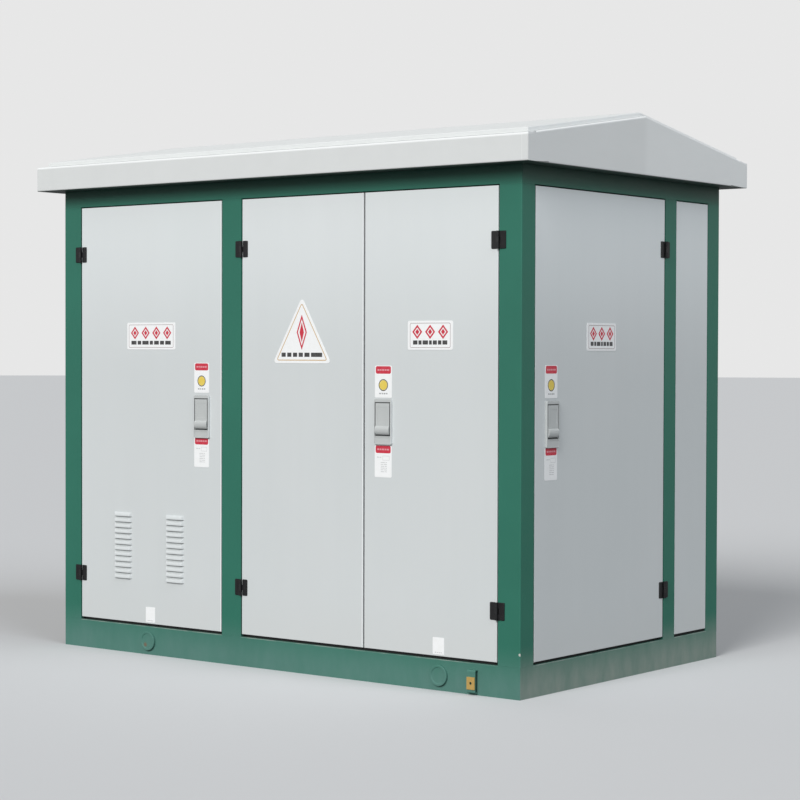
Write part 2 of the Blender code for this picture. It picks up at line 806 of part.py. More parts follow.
def lock_body_mesh():
    """A rounded case with a dish for the lever, a field under it and a bore for its pin."""
    front = -SEAT_GAP - LOCK_DEPTH
    mesh = rounded_case(front, -SEAT_GAP)
    dish_top = LOCK_HEIGHT / 2 - DISH_TOP_RIM
    dish_bottom = dish_top - DISH_HEIGHT
    half = LOCK_WIDTH / 2 - LOCK_RIM
    bm = bmesh.new()
    add_box(bm, (-half, front - LOCK_DEPTH, dish_bottom), (half, -SEAT_GAP - DISH_FLOOR, dish_top))
    add_box(
        bm,
        (-half, front - LOCK_DEPTH, LOCK_RIM - LOCK_HEIGHT / 2),
        (half, front + FIELD_DEPTH, dish_bottom - FIELD_BAR),
    )
    mesh = combine(mesh, mesh_from(bm, "recesses"), "DIFFERENCE")
    inward, height = lever_axis()
    bm = bmesh.new()
    bore = LEVER_PIN_RADIUS + PIN_CLEARANCE
    length = 2 * (half + LEVER_PIN_REACH + PIN_CLEARANCE)
    add_cylinder(bm, (0.0, inward, height), bore, length, "X", PIN_SIDES)
    return combine(mesh, mesh_from(bm, "pin_bore"), "DIFFERENCE")


def lever_outline():
    """Side outline of the lever about its axis: a round top, a flat plate and a round lip."""
    radius = LEVER_BARREL
    inner = LEVER_THICKNESS - radius
    half_lip = LEVER_LIP_HEIGHT / 2
    lip_middle = LEVER_LIP_ABOVE_END + half_lip - LEVER_LENGTH
    lip = [
        (-radius - LEVER_LIP_REACH * out, lip_middle + half_lip * up)
        for up, out in arc((0.0, 0.0), 1.0, 180, 0, 2 * ARC_STEPS)
    ]
    top = arc((0.0, 0.0), radius, 0, 180, 2 * ARC_STEPS)
    back = [(inner, -LEVER_LENGTH), (inner, -2 * radius)]
    return back + top + list(reversed(lip)) + [(-radius, -LEVER_LENGTH)]


def lever_mesh():
    """The lever with its sunk panel and the pin that it turns on."""
    half = LEVER_WIDTH / 2
    bm = bmesh.new()
    add_prism(
        bm,
        lever_outline(),
        lambda point: (-half, point[0], point[1]),
        lambda point: (half, point[0], point[1]),
    )
    mesh = mesh_from(bm, "lock_lever")
    front = -LEVER_BARREL
    panel = box_mesh(
        "panel",
        (LEVER_PANEL_MARGIN - half, front - LEVER_PANEL_DEPTH, -LEVER_PANEL_TOP - LEVER_PANEL_HEIGHT),
        (half - LEVER_PANEL_MARGIN, front + LEVER_PANEL_DEPTH, -LEVER_PANEL_TOP),
    )
    mesh = combine(mesh, panel, "DIFFERENCE")
    bm = bmesh.new()
    length = LOCK_WIDTH - 2 * LOCK_RIM + 2 * LEVER_PIN_REACH
    add_cylinder(bm, (0.0, 0.0, 0.0), LEVER_PIN_RADIUS, length, "X", PIN_SIDES)
    return combine(mesh, mesh_from(bm, "pin"), "UNION")


def add_axis_empty(name, frame, at, parent=None):
    """An empty on a joint's axis, which carries what turns about it."""
    empty = bpy.data.objects.new(name, None)
    bpy.context.scene.collection.objects.link(empty)
    if parent is None:
        empty.matrix_world = frame @ Matrix.Translation(at)
    else:
        empty.parent = parent
        empty.location = at
    return empty


def build_lock(name, axis, lock_u):
    """A lock body on a leaf, and its lever on an empty at the lever's own axis."""
    centre = Vector((lock_u, HINGE_AXIS_OFFSET, LOCK_CENTRE_HEIGHT))
    frame = Matrix.Identity(4)
    add_object("lock_body_" + name, lock_body_mesh(), "lock_grey", frame, centre, axis)
    inward, height = lever_axis()
    pivot = add_axis_empty("lever_axis_" + name, frame, centre + Vector((0, inward, height)), axis)
    add_object("lock_lever_" + name, lever_mesh(), "lock_grey", frame, (0, 0, 0), pivot)


def build_door(name, wall, start, width, hinge_side, lock_from_edge=None, has_louvres=False):
    """A leaf with its hinge halves. The hinge side is -1 at its left and +1 at its right."""
    frame = wall_frame(wall)
    hinge_edge = start if hinge_side < 0 else start + width
    axis_u = hinge_edge + hinge_side * DOOR_GAP / 2
    axis = add_axis_empty("hinge_axis_" + name, frame, (axis_u, -HINGE_AXIS_OFFSET, 0.0))
    mesh = leaf_mesh("door_" + name, width, DOOR_LIP)
    if has_louvres:
        mesh = with_louvres(mesh, width)
    mesh = moved(mesh, (start - axis_u, HINGE_AXIS_OFFSET, DOOR_BOTTOM))
    for level, low in hinge_levels():
        mesh = combine(mesh, moved(moving_half(-hinge_side), (0.0, 0.0, low)), "UNION")
        half = fixed_half(hinge_side)
        place = (axis_u, -HINGE_AXIS_OFFSET, low)
        add_object("hinge_" + name + "_" + level, half, "hinge_black", frame, place)
    add_object("door_" + name, mesh, "panel_white", frame, (0, 0, 0), axis)
    if lock_from_edge is not None:
        free_edge = start + width if hinge_side < 0 else start
        build_lock(name, axis, free_edge + hinge_side * lock_from_edge - axis_u)


def build_doors():
    start = FRONT_DOOR_1_START
    width = TRANSFORMER_DOOR_WIDTH
    build_door("transformer", "front", start, width, -1, TRANSFORMER_LOCK_FROM_EDGE, True)
    start = FRONT_DOOR_2_START
    width = SWITCHGEAR_LEAF_WIDTH
    build_door("switchgear_left", "front", start, width, -1)
    start = FRONT_DOORS_END - width
    build_door("switchgear_right", "front", start, width, 1, SWITCHGEAR_LOCK_FROM_EDGE)
    start = FRONT_POST_SIDE_FACE + DOOR_GAP
    width = SIDE_POST_START - DOOR_GAP - start
    build_door("side", "right", start, width, 1, SIDE_LOCK_FROM_EDGE)


def build_panel(name, wall, bay, has_louvres=False):
    start, end = bay
    width = end - start - 2 * PANEL_GAP
    mesh = leaf_mesh("panel_" + name, width, PANEL_LIP)
    if has_louvres:
        mesh = with_louvres(mesh, width)
    place = (start + PANEL_GAP, 0.0, DOOR_BOTTOM)
    add_object("panel_" + name, mesh, "panel_white", wall_frame(wall), place)


def build_panels():
    build_panel("right_narrow", "right", bays("right")[1])
    build_panel("left_narrow", "left", bays("left")[0])
    build_panel("left_wide", "left", bays("left")[1])
    build_panel("back_switchgear", "back", bays("back")[0])
    build_panel("back_transformer", "back", bays("back")[1], has_louvres=True)


def slope_height(inward):
    """Height of the roof's slope plane at a distance inward from the eave's face."""
    return EAVE_TOP + inward * math.tan(ROOF_PITCH)


def eave_bends():
    """Points of the eave's lower and upper bend, in distance inward and height."""
    low = arc((ROOF_BEND, EAVE_BOTTOM + ROOF_BEND), ROOF_BEND, 270, 180)
    turn = 90 - math.degrees(ROOF_PITCH)
    setback = ROOF_BEND * math.tan(math.radians(turn) / 2)
    high = arc((ROOF_BEND, EAVE_TOP - setback), ROOF_BEND, 180, 180 - turn)
    return low + high


def build_eaves():
    """The front and back eaves: soffit, upright face and a lip along the slope."""
    path = [(SOFFIT_DEPTH, EAVE_BOTTOM)] + eave_bends()
    path.append((ROOF_FLANGE, slope_height(ROOF_FLANGE)))
    half = ROOF_HALF_LENGTH - ROOF_STEEL - SEAT_GAP
    for name, turn in (("front", 0.0), ("back", math.pi)):
        bm = bmesh.new()
        rows = [
            [bm.verts.new((end, inward - ROOF_HALF_DEPTH, height)) for inward, height in path]
            for end in (-half, half)
        ]
        for index in range(len(path) - 1):
            left, right = rows
            bm.faces.new((right[index], right[index + 1], left[index + 1], left[index]))
        mesh = folded_sheet(bm, "roof_eave_" + name, ROOF_STEEL)
        add_object("roof_eave_" + name, mesh, "roof_white", Matrix.Rotation(turn, 4, "Z"))


def build_gables():
    """The two gable ends: a five-sided face with a soffit and two lips along the slope."""
    half = ROOF_HALF_DEPTH
    soffit_end = half - SOFFIT_DEPTH - SEAT_GAP
    lip_start = half - ROOF_FLANGE - SEAT_GAP
    bends = [(inward - half, height) for inward, height in eave_bends()]
    lip_height = slope_height(half - lip_start)
    face_points = [(-soffit_end, EAVE_BOTTOM), (soffit_end, EAVE_BOTTOM)]
    face_points += [(-y, height) for y, height in bends]
    face_points += [(lip_start, lip_height), (0.0, slope_height(half)), (-lip_start, lip_height)]
    face_points += reversed(bends)
    lip = 2 + len(bends)
    for name, turn in (("right", 0.0), ("left", math.pi)):
        bm = bmesh.new()
        face = [bm.verts.new((ROOF_HALF_LENGTH, y, z)) for y, z in face_points]
        bm.faces.new(face)
        folds = []
        for first, depth in ((0, SOFFIT_DEPTH), (lip, ROOF_FLANGE), (lip + 1, ROOF_FLANGE)):
            start, end = face[first], face[first + 1]
            inner = [bm.verts.new(vert.co - Vector((depth, 0, 0))) for vert in (start, end)]
            bm.faces.new((end, start, inner[0], inner[1]))
            folds.append(bm.edges.get((start, end)))
        bmesh.ops.remove_doubles(bm, verts=bm.verts, dist=SAME_POINT)
        round_edges(bm, folds, ROOF_BEND)
        mesh = folded_sheet(bm, "roof_gable_" + name, ROOF_STEEL)
        add_object("roof_gable_" + name, mesh, "roof_white", Matrix.Rotation(turn, 4, "Z"))


def build_roof_sheet():
    """The raised cover: two slopes folded at the ridge, with edges turned down all round."""
    half_x = ROOF_HALF_LENGTH - SHEET_INSET_SIDE
    half_y = ROOF_HALF_DEPTH - SHEET_INSET_EAVE
    bm = bmesh.new()

    def row(x, lift):
        return [
            bm.verts.new((x, y, slope_height(ROOF_HALF_DEPTH - abs(y)) + lift))
            for y in (-half_y, 0.0, half_y)
        ]

    seat = SEAT_GAP + SHEET_STEEL * math.tan(ROOF_PITCH)
    top_left = row(-half_x, SHEET_RISE)
    top_right = row(half_x, SHEET_RISE)
    low_left = row(-half_x, seat)
    low_right = row(half_x, seat)
    for index in (0, 1):
        after = index + 1
        bm.faces.new((top_left[index], top_right[index], top_right[after], top_left[after]))
        bm.faces.new((low_right[index], low_right[after], top_right[after], top_right[index]))
        bm.faces.new((low_left[after], low_left[index], top_left[index], top_left[after]))
    bm.faces.new((low_left[0], low_right[0], top_right[0], top_left[0]))
    bm.faces.new((low_right[2], low_left[2], top_left[2], top_right[2]))
    top = set(top_left + top_right)
    round_edges(bm, [edge for edge in bm.edges if top.issuperset(edge.verts)], SHEET_BEND)
    mesh = folded_sheet(bm, "roof_sheet", SHEET_STEEL)
    add_object("roof_sheet", mesh, "roof_white", Matrix.Identity(4))


def main():
    clear_scene()
    build_rails()
    build_earth_plate()
    build_floor()
    build_posts()
    build_doors()
    build_panels()
    build_eaves()
    build_gables()
    build_roof_sheet()


main()
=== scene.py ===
from functools import reduce
import math

import bmesh
import bpy
from mathutils import Matrix, Vector


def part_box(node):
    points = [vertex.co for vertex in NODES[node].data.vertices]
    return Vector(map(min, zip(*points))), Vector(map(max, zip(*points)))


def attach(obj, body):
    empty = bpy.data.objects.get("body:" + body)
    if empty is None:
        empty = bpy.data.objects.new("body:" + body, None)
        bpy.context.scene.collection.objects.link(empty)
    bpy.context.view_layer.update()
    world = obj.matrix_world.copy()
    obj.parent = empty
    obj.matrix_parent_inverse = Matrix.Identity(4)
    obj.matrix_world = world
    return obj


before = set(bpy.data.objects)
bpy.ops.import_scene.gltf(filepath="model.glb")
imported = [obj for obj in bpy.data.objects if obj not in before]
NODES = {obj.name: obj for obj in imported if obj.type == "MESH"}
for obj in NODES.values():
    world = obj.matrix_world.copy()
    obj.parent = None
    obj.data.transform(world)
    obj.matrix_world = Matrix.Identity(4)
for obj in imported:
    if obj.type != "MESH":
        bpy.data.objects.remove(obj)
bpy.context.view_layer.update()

# Outside faces of the housing, read from its middle posts, and of its roof.
HALF_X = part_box("middle_post_right")[1][0]
HALF_Y = -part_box("middle_post_front")[0][1]
ROOF_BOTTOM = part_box("roof_eave_front")[0][2]
ROOF_HALF_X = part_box("roof_gable_right")[1][0]
ROOF_HALF_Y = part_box("roof_gable_right")[1][1]
SHEET_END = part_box("roof_sheet")[1][0]

# Heights of the base rails' top, the leaves and the eaves' top, and the roof's pitch in degrees.
RAIL_TOP = 0.135
DOOR_BOTTOM = 0.148
DOOR_TOP = 2.150
EAVE_TOP = 2.3515
ROOF_PITCH = 8.98
ROOF_SLOPE = math.tan(math.radians(ROOF_PITCH))

# Openings of each wall between its posts, from its left end as seen from outside.
BAYS = {
    "front": ((0.114, 1.052), (1.171, 2.622)),
    "right": ((0.097, 1.152), (1.250, 1.541)),
    "back": ((0.114, 1.565), (1.684, 2.622)),
    "left": ((0.106, 0.397), (0.495, 1.550)),
}
DOOR_BAYS = (("front", 0), ("front", 1), ("right", 0))
QUARTER_TURNS = {"front": 0, "right": 1, "back": 2, "left": 3}


# Camera.

LENS = 96.12
SENSOR_WIDTH = 36.0
FARTHEST_SEEN = 300.0
EYE = Vector((6.4213, -8.136, 1.45))
YAW = math.radians(37.8957)
PITCH = math.radians(1.2771)
ROLL = math.radians(0.1682)


def add_camera():
    """The photograph's view: a long lens from the right front, at standing eye height."""
    data = bpy.data.cameras.new("camera")
    data.lens = LENS
    data.sensor_width = SENSOR_WIDTH
    data.clip_end = FARTHEST_SEEN
    camera = bpy.data.objects.new("camera", data)
    bpy.context.scene.collection.objects.link(camera)
    level = math.cos(PITCH)
    ahead = Vector((-math.sin(YAW) * level, math.cos(YAW) * level, -math.sin(PITCH)))
    side = Vector((math.cos(YAW), math.sin(YAW), 0.0))
    above = side.cross(ahead)
    turned_side = math.cos(ROLL) * side + math.sin(ROLL) * above
    turned_above = math.cos(ROLL) * above - math.sin(ROLL) * side
    axes = Matrix((turned_side, turned_above, -ahead)).transposed()
    camera.matrix_world = Matrix.Translation(EYE) @ axes.to_4x4()
    bpy.context.scene.camera = camera


# Shader nodes.


class Wire:
    """A socket that nodes lead to. Its operators add Math nodes."""

    def __init__(self, owner, socket):
        self.owner = owner
        self.socket = socket

    def math(self, operation, first, second=0.0):
        return self.owner.node("Math", {"operation": operation}, {0: first, 1: second})

    def __add__(self, other):
        return self.math("ADD", self, other)

    def __radd__(self, other):
        return self.math("ADD", other, self)

    def __sub__(self, other):
        return self.math("SUBTRACT", self, other)

    def __rsub__(self, other):
        return self.math("SUBTRACT", other, self)

    def __mul__(self, other):
        return self.math("MULTIPLY", self, other)

    def __rmul__(self, other):
        return self.math("MULTIPLY", other, self)

    def __abs__(self):
        return self.math("ABSOLUTE", self)

    def over(self, limit):
        return self.math("GREATER_THAN", self, limit)

    def under(self, limit):
        return self.math("LESS_THAN", self, limit)

    def rise(self, low, high):
        """0 at low and 1 at high, with a soft step between them."""
        settings = {"interpolation_type": "SMOOTHSTEP"}
        sockets = {"Value": self, "From Min": low, "From Max": high}
        return self.owner.node("MapRange", settings, sockets)

    def highest(self, other):
        return self.math("MAXIMUM", self, other)


class Shading:
    """The nodes of a material or of the surround, and the shader that they feed."""

    def __init__(self, holder, shader):
        holder.use_nodes = True
        self.tree = holder.node_tree
        self.shader = self.tree.nodes[shader]

    def node(self, kind, settings=None, sockets=None, output=0):
        """Adds a node, sets it, joins or fills its sockets and returns one output."""
        made = self.tree.nodes.new("ShaderNode" + kind)
        for key, value in (settings or {}).items():
            setattr(made, key, value)
        for key, value in (sockets or {}).items():
            if isinstance(value, Wire):
                self.tree.links.new(value.socket, made.inputs[key])
            else:
                made.inputs[key].default_value = value
        return Wire(self, made.outputs[output])

    def feed(self, links):
        """Joins wires to the shader's sockets, each named with _ for a space."""
        for socket, wire in links.items():
            self.tree.links.new(wire.socket, self.shader.inputs[socket.replace("_", " ")])


class Finish(Shading):
    """A material being built: its shader, its place sockets and its nodes."""

    def __init__(self, name, **constants):
        self.material = bpy.data.materials.new(name)
        super().__init__(self.material, "Principled BSDF")
        for socket, value in constants.items():
            self.shader.inputs[socket.replace("_", " ")].default_value = value
        self.place = self.node("TexCoord", output="Object")
        self.x = self.node("SeparateXYZ", {}, {0: self.place}, "X")
        self.y = self.node("SeparateXYZ", {}, {0: self.place}, "Y")
        self.z = self.node("SeparateXYZ", {}, {0: self.place}, "Z")

    def noise(self, scale, detail=2.0, roughness=0.5, stretch=(1.0, 1.0, 1.0)):
        place = self.node("Mapping", {}, {"Vector": self.place, "Scale": stretch})
        sockets = {"Vector": place, "Scale": scale, "Detail": detail, "Roughness": roughness}
        return self.node("TexNoise", {}, sockets)

    def mix(self, share, first, second):
        """Mixes two colours by a share between 0 and 1."""
        settings = {"data_type": "RGBA", "clamp_factor": True}
        return self.node("Mix", settings, {0: share, 6: colour(first), 7: colour(second)}, 2)

    def shade(self, tint, amount):
        """Multiplies a colour by a grey value."""
        grey = self.node("CombineXYZ", {}, {0: amount, 1: amount, 2: amount})
        return self.node("VectorMath", {"operation": "MULTIPLY"}, {0: tint, 1: grey})

    def bump(self, height, distance):
        sockets = {"Height": height, "Distance": distance, "Strength": 1.0}
        return self.node("Bump", {}, sockets)

    def paint(self, **links):
        """Feeds the shader's sockets and returns the material."""
        self.feed(links)
        return self.material


def colour(value):
    """A colour as a socket takes it: a wire as it is, or red, green and blue with an alpha."""
    if isinstance(value, Wire):
        return value
    return (*value, 1.0)


# Masks: wires that are 1 on a part of the object and 0 elsewhere.

# How far behind a wall's outside face the object still counts as that face.
SKIN = 0.004
RIM_WIDTH = 0.004


def any_of(masks):
    """1 where one of the masks is 1."""
    return reduce(Wire.highest, masks)


def boxes(starts):
    """The name, low corner and high corner of each node whose name starts in a given way."""
    return [(name, *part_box(name)) for name in NODES if name.startswith(starts)]


def spot(finish, x, z):
    """The square of the distance from a point on the front or back wall."""
    across = finish.x - x
    up = finish.z - z
    return across * across + up * up


def bay_mask(finish):
    """1 on the outside of the walls between their posts."""
    x, y = finish.x, finish.y
    walls = {
        "front": (x + HALF_X, y.under(SKIN - HALF_Y)),
        "right": (y + HALF_Y, x.over(HALF_X - SKIN)),
        "back": (HALF_X - x, y.over(HALF_Y - SKIN)),
        "left": (HALF_Y - y, x.under(SKIN - HALF_X)),
    }
    return any_of([
        along.over(start) * along.under(end) * face
        for wall, (along, face) in walls.items()
        for start, end in BAYS[wall]
    ])


def painted_rim_highlights(finish):
    """1 along the right edge of each leaf on the front and right walls, where a painted highlight
    stands for the light that the edge catches.
    """
    masks = []
    for _, low, high in boxes(("door_", "panel_right")):
        if high[0] > HALF_X - 0.05 and low[1] > -HALF_Y + 0.05:
            inward = abs(finish.y - (high[1] - RIM_WIDTH / 2))
            face = finish.x.over(HALF_X - 0.01)
        else:
            inward = abs(finish.x - (high[0] - RIM_WIDTH / 2))
            face = finish.y.under(0.01 - HALF_Y)
        masks.append(inward.under(RIM_WIDTH / 2) * face)
    return any_of(masks)


def shade_behind_hinges(finish):
    """1 on the posts behind the hinges, for painted shade where only a dark slit beside the knuckle
    shows.
    """
    x, y, z = finish.x, finish.y, finish.z
    masks = []
    for name, low, high in boxes("hinge_"):
        if name.startswith("hinge_side"):
            covered = y.over(low[1]) * y.under(high[1]) * x.over(HALF_X - SKIN)
        else:
            covered = x.over(low[0]) * x.under(high[0]) * y.under(SKIN - HALF_Y)
        masks.append(z.over(low[2]) * z.under(high[2]) * covered)
    return any_of(masks)


def hinge_mask(finish):
    """1 on the hinge halves that stand out from the doors, and 0 on the doors."""
    x, y, z = finish.x, finish.y, finish.z
    reach = 0.075
    slack = 0.0002
    proud = 0.0001
    masks = []
    for name, low, high in boxes("hinge_"):
        if name.startswith("hinge_side"):
            out = x.over(HALF_X + proud) * y.over(high[1] - 0.080) * y.under(high[1])
        else:
            middle = (low[0] + high[0]) / 2
            out = y.under(-HALF_Y - proud) * abs(x - middle).under(reach)
        masks.append(z.over(low[2] - slack) * z.under(high[2] + slack) * out)
    return any_of(masks)


# Finishes of the CAD nodes.

GREEN = (0.025, 0.156, 0.107)
PANEL_GREY = (0.645, 0.685, 0.685)
PANEL_GREY_WARM = (0.675, 0.700, 0.700)
ROOF_WHITE = (0.695, 0.715, 0.705)
ROOF_WHITE_BRIGHT = (0.735, 0.75, 0.742)
BLUE_DUST = (0.38, 0.46, 0.50)
EARTH_DUST = (0.50, 0.46, 0.41)
LEDGE_DUST_AND_HIGHLIGHT = (0.52, 0.53, 0.50)
PRIMER = (0.50, 0.52, 0.47)
RUST = (0.20, 0.10, 0.05)
HINGE_BLACK_AND_SHADE = (0.010, 0.010, 0.011)
RIM_HIGHLIGHT = (0.92, 0.94, 0.94)
BEND_HIGHLIGHT = (0.92, 0.935, 0.93)
SOFFIT_SHADOW = (0.030, 0.060, 0.048)
DISH_SHADE = (0.075, 0.080, 0.080)
CASE_SIDE_HIGHLIGHT = (0.80, 0.82, 0.82)
LEVER_TOP_SHADOW = (0.10, 0.105, 0.105)

# Where the roof's shadow on the frame starts and where it is at its full depth.
SHADOW_START = ROOF_BOTTOM - 0.105
SHADOW_FULL = ROOF_BOTTOM - 0.045

# A flake of lost paint and a rust stain on the front wall, each by its x and its height.
FLAKE = (HALF_X - 0.002, 0.190)
STAIN = (0.564 - HALF_X, 0.048)

# Sizes of the locks' cases: the rim beside the dish, its depth's start and the field under it.
LOCK_RIM = 0.0045
DISH_EDGE = 0.0015
LOCK_FIELD = 0.037


def frame_paint():
    """Green paint on rolled steel, dusty on the base and chipped at the corners, with painted shade
    toward the roof and behind the hinges.
    """
    finish = Finish("frame_paint", Specular_IOR_Level=0.35)
    cloud = finish.noise(3.0, 3.0, 0.55)
    low = 1.0 - finish.z.rise(0.02, RAIL_TOP + 0.10)
    on_side = finish.x.over(HALF_X - 0.0005)
    base = finish.shade(GREEN, 0.90 + cloud * 0.20)
    base = frame_dust(finish, base, low, on_side)
    base = frame_wear(finish, base)
    base = roof_shadow(finish, base, on_side)
    # Painted shade: the posts behind the hinges are painted black, so the slit beside each knuckle
    # reads dark.
    base = finish.mix(shade_behind_hinges(finish), base, HINGE_BLACK_AND_SHADE)
    grain = finish.noise(420.0, 2.0, 0.5)
    return finish.paint(
        Base_Color=base,
        Roughness=0.42 + cloud * 0.10 + low * 0.18,
        Normal=finish.bump(grain, 0.00035),
    )


def frame_dust(finish, base, low, on_side):
    """Bluish dust on the base, earthy on the right side, and dirt with a painted highlight on the
    rails' ledges.
    """
    z = finish.z
    streaks = finish.noise(14.0, 4.0, 0.6, (1.0, 1.0, 0.35))
    base = finish.mix(low * (0.08 + streaks * 0.16), base, BLUE_DUST)
    base = finish.mix(on_side * low * (0.12 + streaks * 0.42), base, EARTH_DUST)
    # Dust on the rails' top edge, together with a painted highlight where the edge would catch
    # light.
    ledge = bay_mask(finish) * z.over(RAIL_TOP - 0.003) * z.under(RAIL_TOP + 0.0004)
    patchy = finish.noise(9.0, 3.0, 0.6).rise(0.35, 0.6)
    return finish.mix(ledge * (0.10 + patchy * 0.30), base, LEDGE_DUST_AND_HIGHLIGHT)


def frame_wear(finish, base):
    """Chips along the corners, and the flake and the stain on the front wall."""
    x, y = finish.x, finish.y
    edge = abs(x).over(HALF_X - SKIN) * abs(y).over(HALF_Y - SKIN)
    chips = finish.noise(31.0, 3.0, 0.6).rise(0.715, 0.735) * edge
    base = finish.mix(chips, base, PRIMER)
    on_front = y.under(SKIN - HALF_Y) * x.under(HALF_X - 0.0002)
    ragged = finish.noise(160.0, 2.0, 0.6) * 0.00005
    flake = spot(finish, *FLAKE) + ragged
    base = finish.mix(flake.under(0.00006) * on_front, base, PRIMER)
    stain = spot(finish, *STAIN) + ragged * 2.0
    stained = (1.0 - stain.rise(0.00003, 0.00024)) * on_front
    return finish.mix(stained * 0.75, base, RUST)


def roof_shadow(finish, base, on_side):
    """Darkens the frame toward the roof, which keeps the light off it."""
    # Painted shade: the frame darkens toward the roof, a little more on the right side, and most
    # right under the eaves.
    shadow = finish.z.rise(SHADOW_START, SHADOW_FULL) * (0.40 + on_side * 0.04)
    deeper_painted_shade = finish.z.rise(SHADOW_FULL, ROOF_BOTTOM) * 0.12
    return finish.shade(base, 1.0 - shadow - deeper_painted_shade)


def panel_paint():
    """Pale grey powder coat on thin sheet, a little uneven, with faint run-off streaks, painted
    lighter toward the top and with painted highlights on the leaves' right edges.
    """
    finish = Finish("panel_paint", Specular_IOR_Level=0.4)
    z = finish.z
    cloud = finish.noise(1.6, 3.0, 0.5)
    streaks = finish.noise(7.0, 4.0, 0.6, (1.0, 1.0, 0.08))
    on_side = finish.x.over(HALF_X - 0.06)
    # Painted light: the panels grow lighter toward the top, more so on the right side, over the
    # real run-off streaks.
    streaks_and_painted_light = 0.955 + streaks * 0.05 + z.rise(1.3, DOOR_TOP) * (0.16 + on_side * 0.13)
    base = finish.shade(finish.mix(cloud, PANEL_GREY, PANEL_GREY_WARM), streaks_and_painted_light)
    low = 1.0 - z.rise(DOOR_BOTTOM, DOOR_BOTTOM + 0.25)
    base = finish.mix(low * streaks * 0.16, base, EARTH_DUST)
    # Painted highlight along the right edge of each leaf.
    base = finish.mix(painted_rim_highlights(finish) * 0.85, base, RIM_HIGHLIGHT)
    base = finish.mix(hinge_mask(finish), base, HINGE_BLACK_AND_SHADE)
    grain = finish.noise(520.0, 2.0, 0.5)
    waves = finish.noise(1.1, 1.0, 0.4)
    return finish.paint(
        Base_Color=base,
        Roughness=0.36 + cloud * 0.10 + low * 0.12,
        Normal=finish.bump(grain + waves * 9.0, 0.0003),
    )


def roof_paint():
    """White paint on the roof, with painted light on its gables, painted highlights along its bends
    and on the sheet's riser, and dark at its lower edge.
    """
    finish = Finish("roof_paint", Specular_IOR_Level=0.4)
    x, y, z = finish.x, finish.y, finish.z
    cloud = finish.noise(2.2, 4.0, 0.55)
    streaks = finish.noise(10.0, 4.0, 0.6, (1.0, 0.25, 1.0))
    tint = finish.mix(cloud, ROOF_WHITE, ROOF_WHITE_BRIGHT)
    base = finish.shade(tint, 0.96 + streaks * 0.06)
    # Painted light: the gables are lighter, and lighter still on their back half.
    on_gable = abs(x).over(ROOF_HALF_X - 0.001)
    base = finish.shade(base, 1.0 + on_gable * (y.rise(-0.03, 0.03) * 0.07 + 0.08))
    # Painted highlights along the bends of the gables and eaves, and on the roof sheet's riser.
    bend_radius = 0.006
    bend_height = 0.0085
    below_slope = EAVE_TOP + (ROOF_HALF_Y - abs(y)) * ROOF_SLOPE - z
    gable_bend = abs(x).over(ROOF_HALF_X - bend_radius) * below_slope.under(bend_height)
    eave_bend = abs(y).over(ROOF_HALF_Y - bend_radius) * z.over(EAVE_TOP - bend_height)
    bend = gable_bend.highest(eave_bend)
    riser = x.over(SHEET_END - 0.001) * x.under(SHEET_END + 0.001)
    base = finish.mix(bend * 0.75 + riser * 0.45, base, BEND_HIGHLIGHT)
    base = finish.mix(z.under(ROOF_BOTTOM + 0.0018), base, SOFFIT_SHADOW)
    grain = finish.noise(480.0, 2.0, 0.5)
    waves = finish.noise(1.4, 1.0, 0.4)
    return finish.paint(
        Base_Color=base,
        Roughness=0.38 + cloud * 0.14,
        Normal=finish.bump(grain + waves * 8.0, 0.0003),
    )


def cast_metal(finish):
    """The uneven grey of die-cast metal, with the cloud and the brushing that make it."""
    cloud = finish.noise(25.0, 3.0, 0.6)
    brushed = finish.noise(260.0, 2.0, 0.5, (0.15, 0.15, 3.0))
    tint = finish.mix(cloud, (0.51, 0.535, 0.53), (0.57, 0.59, 0.58))
    return finish.shade(tint, 0.95 + brushed * 0.1), cloud, brushed


def lock_case():
    """The metal of the locks' cases, with painted shade inside the dish and a painted highlight on
    the right side of the front cases.
    """
    finish = Finish("lock_case", Metallic=0.10, Specular_IOR_Level=0.4)
    x, y, z = finish.x, finish.y, finish.z
    shaded_dishes = []
    sides = []
    for name, low, high in boxes("lock_body_"):
        if name == "lock_body_side":
            across = abs(y - (low[1] + high[1]) / 2).under((high[1] - low[1]) / 2 - LOCK_RIM)
            deep = x.under(high[0] - DISH_EDGE) * x.over(HALF_X - 0.001)
        else:
            across = abs(x - (low[0] + high[0]) / 2).under((high[0] - low[0]) / 2 - LOCK_RIM)
            deep = y.over(low[1] + DISH_EDGE) * y.under(0.001 - HALF_Y)
            # The right side of each front case, which gets a painted highlight.
            sides.append(abs(x - high[0]).under(0.0012))
        shaded_dishes.append(across * deep * z.over(low[2] + LOCK_FIELD))
    base, _, _ = cast_metal(finish)
    # Painted shade inside each dish.
    base = finish.mix(any_of(shaded_dishes), base, DISH_SHADE)
    # Painted highlight on the right side of each front case.
    base = finish.mix(any_of(sides) * 0.6, base, CASE_SIDE_HIGHLIGHT)
    return finish.paint(Base_Color=base, Roughness=0.40 + finish.noise(25.0) * 0.16)


def lock_metal():
    """Satin die-cast metal of the locks' levers, with a dark line at their top."""
    finish = Finish("lock_metal", Metallic=0.12, Specular_IOR_Level=0.4)
    base, cloud, brushed = cast_metal(finish)
    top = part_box("lock_lever_side")[1][2]
    return finish.paint(
        Base_Color=finish.mix(finish.z.over(top - 0.004), base, LEVER_TOP_SHADOW),
        Roughness=0.42 + cloud * 0.14,
        Normal=finish.bump(brushed, 0.0002),
    )


def clouded(finish, cloud, tints, roughness, grain, depth):
    """Paints a finish whose tint and roughness drift together, over a fine grain.

    The roughness is given by its least value and by how much the cloud adds.
    """
    least, added = roughness
    return finish.paint(
        Base_Color=finish.mix(cloud, *tints),
        Roughness=least + cloud * added,
        Normal=finish.bump(grain, depth),
    )


